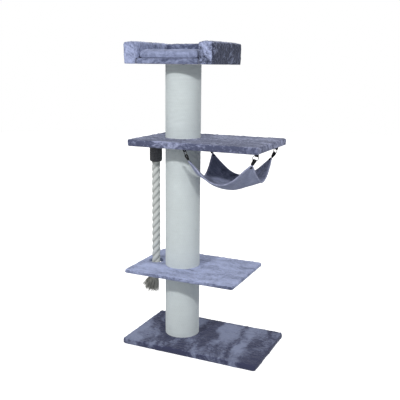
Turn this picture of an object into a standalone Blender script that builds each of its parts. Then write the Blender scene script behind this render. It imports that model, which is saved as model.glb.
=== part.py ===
"""Cat tree: three plush platforms and a padded bed on sisal posts, with a hanging rope and a hammock.

Metres, +Z up.  The origin is on the floor under the middle of the base.  -Y is the front, and the
platforms reach out towards +X from the posts.
"""
import math

import bmesh
import bpy
from mathutils import Vector

# ---- Clearances ----
GAP = 0.0003                    # between pieces that touch
HOLE_CLEARANCE = 0.0004         # between a bolt or a screw and its hole, on the radius

# ---- Base ----
BASE_LENGTH = 0.610
BASE_WIDTH = 0.360
BASE_THICKNESS = 0.023          # board and plush
BASE_LEFT = 0.200               # left edge to the axis of the posts
FOOT_DIAMETER = 0.030
FOOT_HEIGHT = 0.003
FOOT_INSET = 0.030              # foot axis to the edges of the base

# ---- Lower shelf ----
SHELF_LENGTH = 0.495
SHELF_WIDTH = 0.350
SHELF_THICKNESS = 0.015
SHELF_LEFT = 0.190
ROPE_HOLE_DIAMETER = 0.064

# ---- Middle platform ----
MIDDLE_LENGTH = 0.560
MIDDLE_WIDTH = 0.360
MIDDLE_THICKNESS = 0.026
MIDDLE_LEFT = 0.165

# ---- Bed ----
BED_LENGTH = 0.390
BED_WIDTH = 0.300
BED_HEIGHT = 0.084
BED_SIDE_WALL = 0.060
BED_BACK_WALL = 0.040
BED_BOARD_THICKNESS = 0.018
CUSHION_THICKNESS = 0.030
CUSHION_SIDE_GAP = 0.005        # cushion to the side walls and the back wall
CUSHION_FRONT_GAP = 0.010       # cushion to the front edge of the bed
CUSHION_CORNER = 0.012          # seen from above
CUSHION_EDGE_RADIUS = 0.012

# ---- Plush cover of the boards ----
PLUSH = 0.002
BOARD_CORNER_RADIUS = 0.010
BOARD_EDGE_RADIUS = 0.0035
WALL_CORNER_RADIUS = 0.008
WALL_JOIN_RADIUS = 0.003        # upright edges of the back wall, where it meets the side walls
WALL_EDGE_RADIUS = 0.006

# ---- Posts ----
LOWER_POST = 0.299
MIDDLE_POST = 0.530
UPPER_POST = 0.300
POST_DIAMETER = 0.150
SISAL_THICKNESS = 0.006
TUBE_WALL = 0.004
PLUG_THICKNESS = 0.020

# ---- Fasteners ----
BOLT_DIAMETER = 0.008
BOLT_GRIP = 0.018               # length of bolt or stud inside a plug
BOLT_HEAD_FLATS = 0.013
BOLT_HEAD_HEIGHT = 0.0053
WASHER_DIAMETER = 0.024
WASHER_THICKNESS = 0.002
COUNTERBORE_DIAMETER = 0.027
SCREW_DIAMETER = 0.0035
SCREW_HEAD_DIAMETER = 0.007
SCREW_HEAD_HEIGHT = 0.0022
SCREW_GRIP = 0.014              # length of screw above the underside of the platform

# ---- Hanging rope ----
ROPE_X = -0.130                 # rope axis to the axis of the posts
ROPE_DIAMETER = 0.034
COLLAR_DIAMETER = 0.054
COLLAR_BORE = 0.042
COLLAR_HEIGHT = 0.083
COLLAR_ROOF = 0.006
COLLAR_SCREW_HEAD = 0.010
# Route of the rope's axis: x from the axis of the posts, y, height above the floor.
ROPE_ROUTE = (
    (-0.1300, 0.0000, 0.8595),
    (-0.1300, 0.0000, 0.7880),
    (-0.1295, -0.0010, 0.6200),
    (-0.1310, 0.0010, 0.4600),
    (-0.1315, 0.0000, 0.3325),
    (-0.1380, 0.0000, 0.2620),
)
ROPE_STEP = 2.5                 # diameters between the points of the swept rope
FRAY_LENGTH = 0.066
FRAY_GAP = 0.0012               # between the rope and its frayed end
FRAY_SPREAD = 0.070             # width across the frayed end
FRAY_LEAN = 0.022               # how far the frayed end leans to the left

# ---- Hammock and its four hangers ----
HAMMOCK_X = 0.218               # centre of the hammock to the axis of the posts
HAMMOCK_LENGTH = 0.268          # between the corners, along X
HAMMOCK_WIDTH = 0.240           # between the corners, along Y
HAMMOCK_CLOTH = 0.004
RIM_SAG = 0.082                 # middle of each edge below the corners
BELLY_SAG = 0.122               # middle of the hammock below the corners
FRONT_SAG = 0.005               # how much lower the front edge hangs than the others
RIM_ROUND = 1.30                # 1 for a plain arch; more for broad ears at the corners
RIM_BOW = 0.003                 # how far the middle of each edge is drawn in
RIM_SHIFT = 0.007               # how far the cloth lies to the front and to the free end
RING_WIRE = 0.003
RING_DIAMETER = 0.025           # of the wire's centre line
RING_LEAN = math.radians(22)    # from upright, in the XZ plane
TAB_LEAN = math.radians(30)
TAB_LENGTH = 0.020              # ring's lower wire to the corner of the hammock
RING_DROP = 0.009               # underside of the platform to the ring's upper wire
WEBBING_WIDTH = 0.012
WEBBING = 0.0014
WEBBING_SLOT = 0.0070           # inside width of a webbing loop at the wire
WEBBING_REACH = 0.0060          # wire axis to the inside of the loop's bend
LUG_LENGTH = 0.017              # webbing that lies flat under the platform
LUG_HOLE = 0.55                 # where the screw goes through it, over its length
LOOP_END_GAP = 0.0012           # between the two ends of a webbing loop

# ---- Sinks for the bolt heads ----
BASE_COUNTERBORE = 0.0095
BED_COUNTERBORE = 0.0085

# ---- How finely round shapes are divided ----
POST_SIDES = 36
HOLE_SIDES = 32
SMALL_SIDES = 24
SCREW_SIDES = 12
RING_STEPS = 20
WIRE_SIDES = 6
BEND_STEPS = 6
SLING_STEPS = 12

# ---- Worked out from the sizes above ----
POST_X = BASE_LEFT - BASE_LENGTH / 2
BASE_TOP = FOOT_HEIGHT + BASE_THICKNESS
SHELF_Z = BASE_TOP + LOWER_POST
SHELF_TOP = SHELF_Z + SHELF_THICKNESS
MIDDLE_Z = SHELF_TOP + MIDDLE_POST
MIDDLE_TOP = MIDDLE_Z + MIDDLE_THICKNESS
BED_Z = MIDDLE_TOP + UPPER_POST
TUBE_RADIUS = POST_DIAMETER / 2 - SISAL_THICKNESS
SKIN = PLUSH + GAP              # outside of a cover to the board inside it

for old in list(bpy.data.objects):
    bpy.data.objects.remove(old, do_unlink=True)


# ---- Materials ----
def material(name, colour, roughness, metallic=0.0):
    made = bpy.data.materials.new(name)
    made.use_nodes = True
    shader = made.node_tree.nodes["Principled BSDF"]
    shader.inputs["Base Color"].default_value = (*colour, 1.0)
    shader.inputs["Roughness"].default_value = roughness
    shader.inputs["Metallic"].default_value = metallic
    return made


PLUSH_LIGHT = material("plush_light", (0.36, 0.39, 0.62), 0.95)
PLUSH_DARK = material("plush_dark", (0.10, 0.11, 0.23), 0.95)
PLUSH_SLATE = material("plush_slate", (0.16, 0.18, 0.33), 0.95)
HAMMOCK_PLUSH = material("hammock_plush", (0.27, 0.28, 0.42), 0.9)
FOAM = material("foam", (0.80, 0.78, 0.70), 0.9)
BOARD = material("board", (0.52, 0.38, 0.24), 0.8)
CARDBOARD = material("cardboard", (0.46, 0.33, 0.20), 0.9)
SISAL = material("sisal", (0.60, 0.64, 0.62), 0.9)
PLUG_WOOD = material("plug_wood", (0.60, 0.45, 0.28), 0.7)
STEEL = material("zinc_steel", (0.55, 0.55, 0.56), 0.35, 1.0)
ROPE_COTTON = material("rope_cotton", (0.60, 0.62, 0.58), 0.9)
ROPE_FIBRE = material("rope_fibre", (0.17, 0.17, 0.13), 0.95)
COLLAR_PLASTIC = material("collar_plastic", (0.03, 0.03, 0.035), 0.55)
RING_STEEL = material("ring_steel", (0.16, 0.16, 0.17), 0.35, 1.0)
WEBBING_BLACK = material("webbing_black", (0.01, 0.01, 0.012), 0.8)
FOOT_FELT = material("foot_felt", (0.05, 0.05, 0.05), 0.95)


# ---- Making solids ----
def solid(name, points, faces, made_of, origin=(0.0, 0.0, 0.0)):
    """A closed mesh object whose points are given in world coordinates."""
    origin = Vector(origin)
    mesh = bpy.data.meshes.new(name)
    mesh.from_pydata([Vector(point) - origin for point in points], [], faces)
    tidy = bmesh.new()
    tidy.from_mesh(mesh)
    bmesh.ops.recalc_face_normals(tidy, faces=tidy.faces)
    tidy.to_mesh(mesh)
    tidy.free()
    mesh.materials.append(made_of)
    made = bpy.data.objects.new(name, mesh)
    made.location = origin
    bpy.context.collection.objects.link(made)
    return made


def loft(name, loops, made_of, closed=False, origin=(0.0, 0.0, 0.0)):
    """Skin a row of loops of equal length; the last meets the first, or both ends are capped."""
    count = len(loops[0])
    points = [point for loop in loops for point in loop]
    faces = []
    last = len(loops) if closed else len(loops) - 1
    for row in range(last):
        here, there = row * count, (row + 1) % len(loops) * count
        for step in range(count):
            after = (step + 1) % count
            faces.append((here + step, here + after, there + after, there + step))
    if not closed:
        faces.append(tuple(reversed(range(count))))
        faces.append(tuple(range(len(points) - count, len(points))))
    return solid(name, points, faces, made_of, origin)


def circle(x, y, z, radius, sides):
    turns = [2 * math.pi * (step + 0.5) / sides for step in range(sides)]
    return [(x + radius * math.cos(turn), y + radius * math.sin(turn), z) for turn in turns]


def hexagon(x, y, z, flats, sides):
    """A hexagon's outline with as many points as a circle of that many sides; sides is a multiple of 12."""
    points = []
    for step in range(sides):
        turn = 2 * math.pi * step / sides
        off_flat = (turn + math.pi / 6) % (math.pi / 3) - math.pi / 6
        radius = flats / 2 / math.cos(off_flat)
        points.append((x + radius * math.cos(turn), y + radius * math.sin(turn), z))
    return points


def rounded_rectangle(box, inset, z, corner):
    """Outline of the box (x0, x1, y0, y1), drawn in by inset, with its corners rounded."""
    x0, x1, y0, y1 = box
    radius = max(corner - inset, 0.0008)
    points = []
    for cx, cy, start in (
        (x1 - inset - radius, y1 - inset - radius, 0),
        (x0 + inset + radius, y1 - inset - radius, 90),
        (x0 + inset + radius, y0 + inset + radius, 180),
        (x1 - inset - radius, y0 + inset + radius, 270),
    ):
        for step in range(4):
            turn = math.radians(start + 30 * step)
            points.append((cx + radius * math.cos(turn), cy + radius * math.sin(turn), z))
    return points


def revolved(name, x, y, profile, made_of, sides, closed=False):
    """Turn a profile of (radius, z) about the upright axis through x, y."""
    loops = [circle(x, y, z, radius, sides) for radius, z in profile]
    return loft(name, loops, made_of, closed)


def slab(name, box, z0, z1, corner, edge, made_of, under_edge=None, origin=(0.0, 0.0, 0.0)):
    """A board with rounded corners and softened edges; under_edge is for its lower edges."""
    under = edge if under_edge is None else under_edge
    steps = [(under, z0), (under * 0.3, z0 + under * 0.3), (0.0, z0 + under)]
    steps += [(0.0, z1 - edge), (edge * 0.3, z1 - edge * 0.3), (edge, z1)]
    loops = [rounded_rectangle(box, inset, z, corner) for inset, z in steps]
    return loft(name, loops, made_of, origin=origin)


def cut(target, cutters):
    """Subtract the cutters from the target and remove them."""
    for cutter in cutters:
        boolean = target.modifiers.new("cut", "BOOLEAN")
        boolean.operation = "DIFFERENCE"
        boolean.solver = "EXACT"
        boolean.object = cutter
    bpy.context.view_layer.update()
    finished = target.evaluated_get(bpy.context.evaluated_depsgraph_get())
    mesh = bpy.data.meshes.new_from_object(finished)
    mesh.name = target.name
    target.modifiers.clear()
    target.data = mesh
    for cutter in cutters:
        bpy.data.objects.remove(cutter, do_unlink=True)


def drill(x, y, z0, z1, radius, sides=SMALL_SIDES):
    return revolved("drill", x, y, [(radius, z0), (radius, z1)], BOARD, sides)


def prism(box, z0, z1, corner):
    """An upright block with rounded corners and sharp edges, to cut with."""
    return loft("prism", [rounded_rectangle(box, 0.0, z, corner) for z in (z0, z1)], BOARD)


def shrunk(box, amount):
    x0, x1, y0, y1 = box
    return (x0 + amount, x1 - amount, y0 + amount, y1 - amount)


# ---- Platforms: a board inside a tight plush cover ----
def platform_box(length, width, left):
    return (POST_X - left, POST_X - left + length, -width / 2, width / 2)


def board(name, box, z0, z1):
    inner = shrunk(box, SKIN)
    corner = BOARD_CORNER_RADIUS - SKIN
    return slab(name, inner, z0 + SKIN, z1 - SKIN, corner, BOARD_EDGE_RADIUS / 2, BOARD)


def plush_cover(name, box, z0, z1, made_of, holes, lined_holes=()):
    """Plush all round a board; holes go through the cloth, and lined holes have plush down their sides."""
    cover = slab(name, box, z0, z1, BOARD_CORNER_RADIUS, BOARD_EDGE_RADIUS, made_of)
    inner, corner = shrunk(box, PLUSH), BOARD_CORNER_RADIUS - PLUSH
    hollow = slab("hollow", inner, z0 + PLUSH, z1 - PLUSH, corner, BOARD_EDGE_RADIUS / 2, FOAM)
    for x, y, radius in lined_holes:
        cut(hollow, [drill(x, y, z0 - 0.01, z1 + 0.01, radius + PLUSH, HOLE_SIDES)])
        holes = [*holes, drill(x, y, z0 - 0.01, z1 + 0.01, radius, HOLE_SIDES)]
    cut(cover, [hollow, *holes])


def bolt_hole(z0, z1):
    return drill(POST_X, 0.0, z0, z1, BOLT_DIAMETER / 2 + HOLE_CLEARANCE)


def base():
    box = platform_box(BASE_LENGTH, BASE_WIDTH, BASE_LEFT)
    panel = board("base_board", box, FOOT_HEIGHT, BASE_TOP)
    counterbore_top = FOOT_HEIGHT + SKIN + BASE_COUNTERBORE
    counterbore = drill(POST_X, 0.0, 0.0, counterbore_top, COUNTERBORE_DIAMETER / 2)
    cut(panel, [bolt_hole(0.0, BASE_TOP + 0.01), counterbore])
    opening = drill(POST_X, 0.0, 0.0, FOOT_HEIGHT + 2 * PLUSH, COUNTERBORE_DIAMETER / 2)
    holes = [bolt_hole(BASE_TOP - 2 * PLUSH, BASE_TOP + 0.01), opening]
    plush_cover("base_cover", box, FOOT_HEIGHT, BASE_TOP, PLUSH_DARK, holes)
    hardware_z = counterbore_top - GAP - WASHER_THICKNESS
    washer("base_washer", hardware_z)
    bolt("base_bolt", hardware_z - GAP - BOLT_HEAD_HEIGHT, hardware_z - GAP, BASE_TOP + BOLT_GRIP)
    x0, x1, y0, y1 = shrunk(box, FOOT_INSET)
    places = [(x0, y0), (x1, y0), (x1, y1), (x0, y1)]
    for number, (x, y) in enumerate(places, 1):
        radius, soft = FOOT_DIAMETER / 2, 0.0006
        profile = [(radius - soft, 0.0), (radius, soft), (radius, FOOT_HEIGHT - GAP)]
        revolved(f"base_foot_{number}", x, y, profile, FOOT_FELT, SMALL_SIDES)


def lower_shelf():
    box = platform_box(SHELF_LENGTH, SHELF_WIDTH, SHELF_LEFT)
    x, radius = POST_X + ROPE_X, ROPE_HOLE_DIAMETER / 2
    through = SHELF_Z - 0.01, SHELF_TOP + 0.01
    panel = board("shelf_board", box, SHELF_Z, SHELF_TOP)
    cut(panel, [bolt_hole(*through), drill(x, 0.0, *through, radius + SKIN, HOLE_SIDES)])
    holes, rope_hole = [bolt_hole(*through)], (x, 0.0, radius)
    plush_cover("shelf_cover", box, SHELF_Z, SHELF_TOP, PLUSH_LIGHT, holes, [rope_hole])
    stud("shelf_stud", SHELF_Z, SHELF_TOP)


def middle_platform():
    box = platform_box(MIDDLE_LENGTH, MIDDLE_WIDTH, MIDDLE_LEFT)
    panel = board("middle_board", box, MIDDLE_Z, MIDDLE_TOP)
    places = [(corner.screw.x, corner.screw.y) for corner in CORNERS] + [(POST_X + ROPE_X, 0.0)]
    pilot, tip = SCREW_DIAMETER / 2 + HOLE_CLEARANCE, MIDDLE_Z + SCREW_GRIP + GAP
    through = MIDDLE_Z - 0.01, MIDDLE_TOP + 0.01
    cut(panel, [bolt_hole(*through), *(drill(x, y, MIDDLE_Z - 0.01, tip, pilot, SCREW_SIDES) for x, y in places)])
    under = MIDDLE_Z - 0.01, MIDDLE_Z + 2 * PLUSH
    holes = [bolt_hole(*through), *(drill(x, y, *under, pilot, SCREW_SIDES) for x, y in places)]
    plush_cover("middle_cover", box, MIDDLE_Z, MIDDLE_TOP, PLUSH_SLATE, holes)
    stud("middle_stud", MIDDLE_Z, MIDDLE_TOP)


# ---- Bed: a board, three padded walls and a loose cushion ----
def bed():
    x0, x1, y0, y1 = box = platform_box(BED_LENGTH, BED_WIDTH, BED_LENGTH / 2)
    top = BED_Z + BED_HEIGHT
    board_z0, board_top = BED_Z + PLUSH / 2, BED_Z + PLUSH / 2 + BED_BOARD_THICKNESS
    inner_x0, inner_x1 = x0 + BED_SIDE_WALL, x1 - BED_SIDE_WALL
    inner_y1 = y1 - BED_BACK_WALL
    corner = WALL_CORNER_RADIUS

    panel = slab("bed_board", shrunk(box, SKIN), board_z0, board_top, corner - SKIN, 0.001, BOARD)
    counterbore_z = board_top - BED_COUNTERBORE
    counterbore = drill(POST_X, 0.0, counterbore_z, board_top + 0.01, COUNTERBORE_DIAMETER / 2)
    cut(panel, [bolt_hole(BED_Z - 0.01, board_top + 0.01), counterbore])
    washer("bed_washer", counterbore_z + GAP)
    head_z = counterbore_z + 2 * GAP + WASHER_THICKNESS
    bolt("bed_bolt", head_z + BOLT_HEAD_HEIGHT, head_z, BED_Z - BOLT_GRIP)

    walls = (
        ("left", (x0, inner_x0 - GAP, y0, y1), corner),
        ("right", (inner_x1 + GAP, x1, y0, y1), corner),
        ("back", (inner_x0, inner_x1, inner_y1, y1), WALL_JOIN_RADIUS),
    )
    floor_top = board_top + SKIN
    board_space = shrunk(box, PLUSH + GAP / 3)
    for side, wall, turn in walls:
        core, core_z0 = shrunk(wall, SKIN), board_top + GAP
        slab(f"bed_{side}_foam", core, core_z0, top - SKIN, turn - SKIN, WALL_EDGE_RADIUS / 2, FOAM)
        cover = slab(f"bed_{side}_cover", wall, BED_Z, top, turn, WALL_EDGE_RADIUS, PLUSH_LIGHT, PLUSH / 2)
        hollow, soft = shrunk(wall, PLUSH), WALL_EDGE_RADIUS / 2
        cavity = slab("cavity", hollow, board_top - soft, top - PLUSH, turn - PLUSH, soft, FOAM)
        cut(cover, [prism(board_space, BED_Z - 0.01, board_top + GAP / 2, corner - PLUSH)])
        cut(cover, [cavity])

    front_drop = [
        (y0, BED_Z),
        (y0 + PLUSH, BED_Z),
        (y0 + PLUSH, board_top + GAP),
        (inner_y1 - GAP, board_top + GAP),
        (inner_y1 - GAP, floor_top),
        (y0 + PLUSH, floor_top),
        (y0 + PLUSH * 0.3, floor_top - PLUSH * 0.3),
        (y0, floor_top - PLUSH),
    ]
    ends = [[(x, y, z) for y, z in front_drop] for x in (inner_x0 + GAP, inner_x1 - GAP)]
    loft("bed_floor_cover", ends, PLUSH_LIGHT)

    cushion_box = (
        inner_x0 + CUSHION_SIDE_GAP,
        inner_x1 - CUSHION_SIDE_GAP,
        y0 + CUSHION_FRONT_GAP,
        inner_y1 - CUSHION_SIDE_GAP,
    )
    bottom = floor_top + GAP
    edge = CUSHION_EDGE_RADIUS
    slab("bed_cushion", cushion_box, bottom, bottom + CUSHION_THICKNESS, CUSHION_CORNER, edge, PLUSH_LIGHT,
         origin=(POST_X, 0.0, bottom))


# ---- Posts: a cardboard tube wound with sisal, with a wooden plug in each end ----
def post(name, z0, length):
    z0, z1 = z0 + GAP, z0 + length - GAP
    outer, inner = TUBE_RADIUS - GAP, TUBE_RADIUS - TUBE_WALL
    winding = [(POST_DIAMETER / 2, z0), (POST_DIAMETER / 2, z1), (TUBE_RADIUS, z1), (TUBE_RADIUS, z0)]
    revolved(f"{name}_sisal", POST_X, 0.0, winding, SISAL, POST_SIDES, closed=True)
    tube = [(outer, z0), (outer, z1), (inner, z1), (inner, z0)]
    revolved(f"{name}_tube", POST_X, 0.0, tube, CARDBOARD, POST_SIDES, closed=True)
    bore = BOLT_DIAMETER / 2 + HOLE_CLEARANCE
    for end, low in (("bottom", z0), ("top", z1 - PLUG_THICKNESS)):
        high = low + PLUG_THICKNESS
        profile = [(inner - GAP, low), (inner - GAP, high), (bore, high), (bore, low)]
        revolved(f"{name}_{end}_plug", POST_X, 0.0, profile, PLUG_WOOD, POST_SIDES, closed=True)


# ---- Fasteners ----
def washer(name, z0):
    inner, outer = BOLT_DIAMETER / 2 + HOLE_CLEARANCE, WASHER_DIAMETER / 2
    z1 = z0 + WASHER_THICKNESS
    profile = [(inner, z0), (outer, z0), (outer, z1), (inner, z1)]
    revolved(name, POST_X, 0.0, profile, STEEL, SMALL_SIDES, closed=True)


def bolt(name, head_far, head_near, tip):
    """A hex bolt on the axis of the posts, from the far face of its head to its tip."""
    loops = [hexagon(POST_X, 0.0, z, BOLT_HEAD_FLATS, SMALL_SIDES) for z in (head_far, head_near)]
    shank = BOLT_DIAMETER / 2
    chamfer = math.copysign(0.001, head_near - tip)
    for radius, z in ((shank, head_near), (shank, tip + chamfer), (shank - 0.001, tip)):
        points = [(x, y, z) for x, y, _ in hexagon(POST_X, 0.0, z, 1.0, SMALL_SIDES)]
        loops.append([
            (POST_X + radius * (x - POST_X) / math.hypot(x - POST_X, y),
             radius * y / math.hypot(x - POST_X, y), z)
            for x, y, z in points
        ])
    loft(name, loops, STEEL)


def stud(name, under, over):
    """A threaded stud through a platform, into the plugs below and above it."""
    radius, z0, z1 = BOLT_DIAMETER / 2, under - BOLT_GRIP, over + BOLT_GRIP
    profile = [(radius - 0.001, z0), (radius, z0 + 0.001), (radius, z1 - 0.001), (radius - 0.001, z1)]
    revolved(name, POST_X, 0.0, profile, STEEL, SMALL_SIDES)


def screw(name, x, y, head_top, head_diameter=SCREW_HEAD_DIAMETER, height=SCREW_HEAD_HEIGHT):
    """A round-headed wood screw that points up, its head's flat face at head_top."""
    head, shank, tip = head_diameter / 2, SCREW_DIAMETER / 2, MIDDLE_Z + SCREW_GRIP
    profile = [
        (head * 0.55, head_top - height),
        (head * 0.9, head_top - height * 0.65),
        (head, head_top),
        (shank, head_top),
        (shank, tip - 0.003),
        (shank * 0.3, tip),
    ]
    revolved(name, x, y, profile, STEEL, SCREW_SIDES)


# ---- Hanging rope ----
def rope_collar():
    x = POST_X + ROPE_X
    top, bottom = MIDDLE_Z - GAP, MIDDLE_Z - COLLAR_HEIGHT
    outer, bore = COLLAR_DIAMETER / 2, COLLAR_BORE / 2
    roof = top - COLLAR_ROOF
    screw_hole = SCREW_DIAMETER / 2 + HOLE_CLEARANCE
    profile = [
        (outer - 0.006, bottom),
        (outer - 0.002, bottom + 0.002),
        (outer, bottom + 0.007),
        (outer, top),
        (screw_hole, top),
        (screw_hole, roof),
        (bore, roof),
        (bore, bottom + 0.002),
        (bore + 0.0015, bottom),
    ]
    revolved("rope_collar", x, 0.0, profile, COLLAR_PLASTIC, POST_SIDES, closed=True)
    screw("collar_screw", x, 0.0, roof - GAP, COLLAR_SCREW_HEAD, 0.0025)


def smooth_route(route, step):
    """Points about one step apart on a smooth curve through every point of the route."""
    route = [Vector(point) for point in route]
    padded = [2 * route[0] - route[1], *route, 2 * route[-1] - route[-2]]
    fine = []
    for before, start, end, after in zip(padded, padded[1:], padded[2:], padded[3:]):
        for part in range(20):
            t = part / 20
            fine.append(0.5 * (2 * start + (end - before) * t
                               + (2 * before - 5 * start + 4 * end - after) * t ** 2
                               + (3 * start - before - 3 * end + after) * t ** 3))
    fine.append(route[-1])
    length = sum((b - a).length for a, b in zip(fine, fine[1:]))
    pieces = max(round(length / step), 1)
    points, travelled, due = [fine[0]], 0.0, length / pieces
    for a, b in zip(fine, fine[1:]):
        travelled += (b - a).length
        if travelled >= due - 1e-9 and len(points) < pieces:
            points.append(b)
            due += length / pieces
    return [*points, route[-1]]


def play_rope():
    route = [Vector((POST_X + x, y, z)) for x, y, z in ROPE_ROUTE]
    pivot = route[0]
    curve = bpy.data.curves.new("play_rope", "CURVE")
    curve.dimensions = "3D"
    curve.bevel_depth = ROPE_DIAMETER / 2
    curve.bevel_resolution = 2
    curve.use_fill_caps = True
    points = smooth_route(route, ROPE_STEP * ROPE_DIAMETER)
    spline = curve.splines.new("POLY")
    spline.points.add(len(points) - 1)
    for place, point in zip(spline.points, points):
        place.co = (*(point - pivot), 1.0)
    curve.materials.append(ROPE_COTTON)
    rope = bpy.data.objects.new("play_rope", curve)
    rope.location = pivot
    bpy.context.collection.objects.link(rope)

    end, along = route[-1], (route[-1] - route[-2]).normalized()
    start = end + along * FRAY_GAP
    loops = []
    sides = 20
    for part in range(6):
        t = part / 5
        centre = start + Vector((-FRAY_LEAN * t ** 1.5, 0.0, -FRAY_LENGTH * t))
        width = ROPE_DIAMETER / 2 + (FRAY_SPREAD - ROPE_DIAMETER) / 2 * t ** 1.3
        depth = ROPE_DIAMETER / 2 * (1 + 0.25 * t)
        tilt = along.x / along.z * (1 - t)
        loops.append([
            centre + Vector((width * math.cos(turn), depth * math.sin(turn), -width * math.cos(turn) * tilt))
            for turn in (2 * math.pi * step / sides for step in range(sides))
        ])
    fray = loft("rope_frayed_end", loops, ROPE_FIBRE, origin=pivot)
    attach(fray, rope)


# ---- Hammock and hangers ----
class Corner:
    """Where one hanger and one corner of the hammock are; side is -1 or 1 along X, depth along Y."""

    def __init__(self, name, side, depth):
        self.name, self.side, self.depth = name, side, depth
        self.lean_ring = Vector((-side * math.sin(RING_LEAN), 0.0, -math.cos(RING_LEAN)))
        self.lean_tab = Vector((-side * math.sin(TAB_LEAN), 0.0, -math.cos(TAB_LEAN)))
        corner_x = POST_X + HAMMOCK_X + side * HAMMOCK_LENGTH / 2
        ring_run = RING_DIAMETER * math.sin(RING_LEAN)
        tab_run = TAB_LENGTH * math.sin(TAB_LEAN)
        self.upper = Vector((
            corner_x + side * (tab_run + ring_run), depth * HAMMOCK_WIDTH / 2, MIDDLE_Z - RING_DROP,
        ))
        self.lower = self.upper + self.lean_ring * RING_DIAMETER
        self.cloth = self.lower + self.lean_tab * TAB_LENGTH
        self.outward = Vector((side, depth, 0.0)).normalized()
        self.under = MIDDLE_Z - GAP - WEBBING / 2
        rise = (self.under - self.upper.z) / -self.lean_ring.z
        self.root = self.upper - self.lean_ring * rise
        self.screw = self.root + self.outward * LUG_LENGTH * LUG_HOLE


def attach(child, parent):
    bpy.context.view_layer.update()
    place = child.matrix_world.translation - parent.matrix_world.translation
    child.parent = parent
    child.location = place


def across(direction, outward):
    """Unit vector across the webbing, at right angles to both directions."""
    return outward.cross(direction).normalized()


def band(name, path, width_ways, made_of, origin):
    """Webbing swept along a path, with the way its width lies given at each point."""
    loops = []
    for number, (point, width_way) in enumerate(zip(path, width_ways)):
        before = path[max(number - 1, 0)]
        after = path[min(number + 1, len(path) - 1)]
        ways = [way.normalized() for way in (point - before, after - point) if way.length > 1e-6]
        normals = [way.cross(width_way).normalized() for way in ways]
        mitre = (normals[0] + normals[-1]).normalized()
        mitre /= max(mitre.dot(normals[0]), 0.5)
        half, edge = mitre * WEBBING / 2, width_way * WEBBING_WIDTH / 2
        loops.append([point + half + edge, point + half - edge, point - half - edge, point - half + edge])
    return loft(name, loops, made_of, origin=origin)


def bend(centre, far, outward):
    """Half turn of webbing about a ring's wire; far points from the wire to the bend."""
    radius = WEBBING_SLOT / 2 + WEBBING / 2
    middle = centre + far * (WEBBING_REACH - WEBBING_SLOT / 2)
    aside = (outward - outward.dot(far) * far).normalized()
    turns = [math.pi * step / BEND_STEPS for step in range(BEND_STEPS + 1)]
    curved = [middle + aside * radius * math.cos(turn) + far * radius * math.sin(turn) for turn in turns]
    beside_wire = centre - far * RING_WIRE
    return [beside_wire + aside * radius, *curved, beside_wire - aside * radius]


def hanger(corner):
    closing = WEBBING / 2 + GAP
    down, out = corner.lean_ring, corner.outward
    aside = (out - out.dot(down) * down).normalized()
    far_leg_top = corner.root - aside * closing - Vector((0, 0, WEBBING / 2 + LOOP_END_GAP))
    path = [corner.root + out * LUG_LENGTH, corner.root + out * closing]
    path += bend(corner.upper, down, out)
    path.append(far_leg_top)
    level, wire_way = across(Vector((0, 0, -1)), out), across(down, out)
    ways = [level, level] + [wire_way] * (len(path) - 3) + [level]
    strap = band(f"hanger_strap_{corner.name}", path, ways, WEBBING_BLACK, corner.root)
    pilot = SCREW_DIAMETER / 2 + HOLE_CLEARANCE
    cut(strap, [drill(corner.screw.x, corner.screw.y, MIDDLE_Z - 0.005, MIDDLE_Z + 0.005, pilot, SCREW_SIDES)])
    head_top = corner.under - WEBBING / 2 - GAP
    screw(f"hanger_screw_{corner.name}", corner.screw.x, corner.screw.y, head_top)

    centre = (corner.upper + corner.lower) / 2
    loops = []
    for step in range(RING_STEPS):
        turn = 2 * math.pi * step / RING_STEPS
        spoke = wire_way * math.cos(turn) + down * math.sin(turn)
        hoop = [2 * math.pi * part / WIRE_SIDES for part in range(WIRE_SIDES)]
        loops.append([
            centre + spoke * (RING_DIAMETER / 2 + RING_WIRE / 2 * math.cos(part))
            + aside * RING_WIRE / 2 * math.sin(part)
            for part in hoop
        ])
    return loft(f"ring_{corner.name}", loops, RING_STEEL, closed=True, origin=corner.upper)


def hammock_tab(corner, sling):
    up, out = -corner.lean_tab, corner.outward
    aside = (out - out.dot(up) * up).normalized()
    foot = corner.cloth + up * 0.0015
    closing = aside * (WEBBING / 2 + 0.0002)
    path = [foot + closing, *bend(corner.lower, up, out), foot - closing]
    name = f"hammock_tab_{corner.name}"
    ways = [across(corner.lean_tab, out)] * len(path)
    tab = band(name, path, ways, WEBBING_BLACK, corner.lower)
    attach(tab, sling)


def sling_point(u, v):
    """Upper face of the hammock; u and v run from -1 to 1 between its corners."""
    arch_u, arch_v = (1 - u * u) ** RIM_ROUND, (1 - v * v) ** RIM_ROUND
    rim_sag = RIM_SAG + FRONT_SAG * (1 - v) / 2
    both = 2 * RIM_SAG + FRONT_SAG / 2 - BELLY_SAG
    drop = rim_sag * arch_u + RIM_SAG * arch_v - both * arch_u * arch_v
    x = u * (HAMMOCK_LENGTH / 2 - (RIM_BOW - RIM_SHIFT * u) * (1 - v * v))
    y = v * (HAMMOCK_WIDTH / 2 - (RIM_BOW + RIM_SHIFT * v) * (1 - u * u))
    return Vector((POST_X + HAMMOCK_X + x, y, CORNERS[0].cloth.z - drop))


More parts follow.
